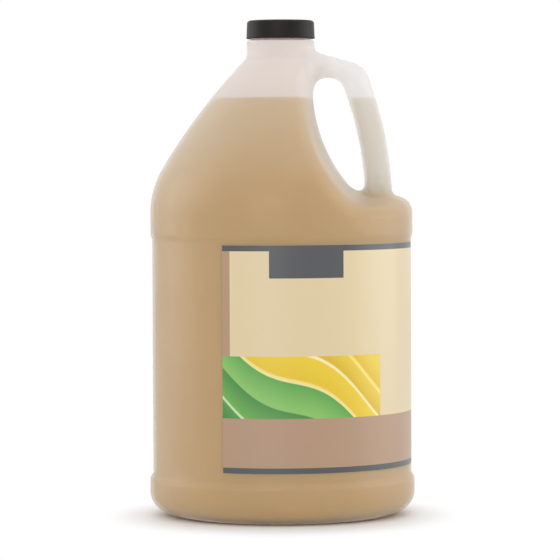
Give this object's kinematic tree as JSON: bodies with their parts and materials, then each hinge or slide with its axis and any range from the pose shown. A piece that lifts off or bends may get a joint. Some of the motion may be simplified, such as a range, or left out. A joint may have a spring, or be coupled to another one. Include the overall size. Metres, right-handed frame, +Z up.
{
  "type": "handled oil jug",
  "caption": "Round blow-moulded jug with a hollow side handle under a domed shoulder, filled with oil, with a wrap label and a low screw cap.",
  "frame": {"origin": "centre of the standing ring, on the surface that the jug stands on", "axes": "+Z up along the jug's axis, +X towards the handle, -Y towards the front of the label"},
  "size_m": [0.1556, 0.1556, 0.2899],
  "materials": {
    "natural_hdpe": "natural blow-moulded polyethylene, waxy and translucent",
    "oil": "clear pale tan oil",
    "printed_label": "satin printed film",
    "black_polypropylene": "satin moulded polypropylene",
    "liner_foam": "fine closed-cell foam"
  },
  "bodies": {
    "bottle": {"jug": "natural_hdpe", "massage_oil": "oil", "wrap_label": "printed_label"},
    "liner": {"cap_liner": "liner_foam"},
    "cap": {"screw_cap": "black_polypropylene"}
  },
  "joints": [
    {"name": "cap_lift", "type": "slide", "parent": "bottle", "child": "liner", "axis": [0, 0, 1], "range_m": [0, 0.0128]},
    {"name": "cap_turn", "type": "hinge", "parent": "liner", "child": "cap", "pos_m": [0, 0, 0.2889], "axis": [0, 0, 1], "range_deg": [0, 1080]}
  ],
  "couplings": [
    {"joint": "cap_lift", "follows": "cap_turn", "m_per_rad": 0.00067376}
  ]
}
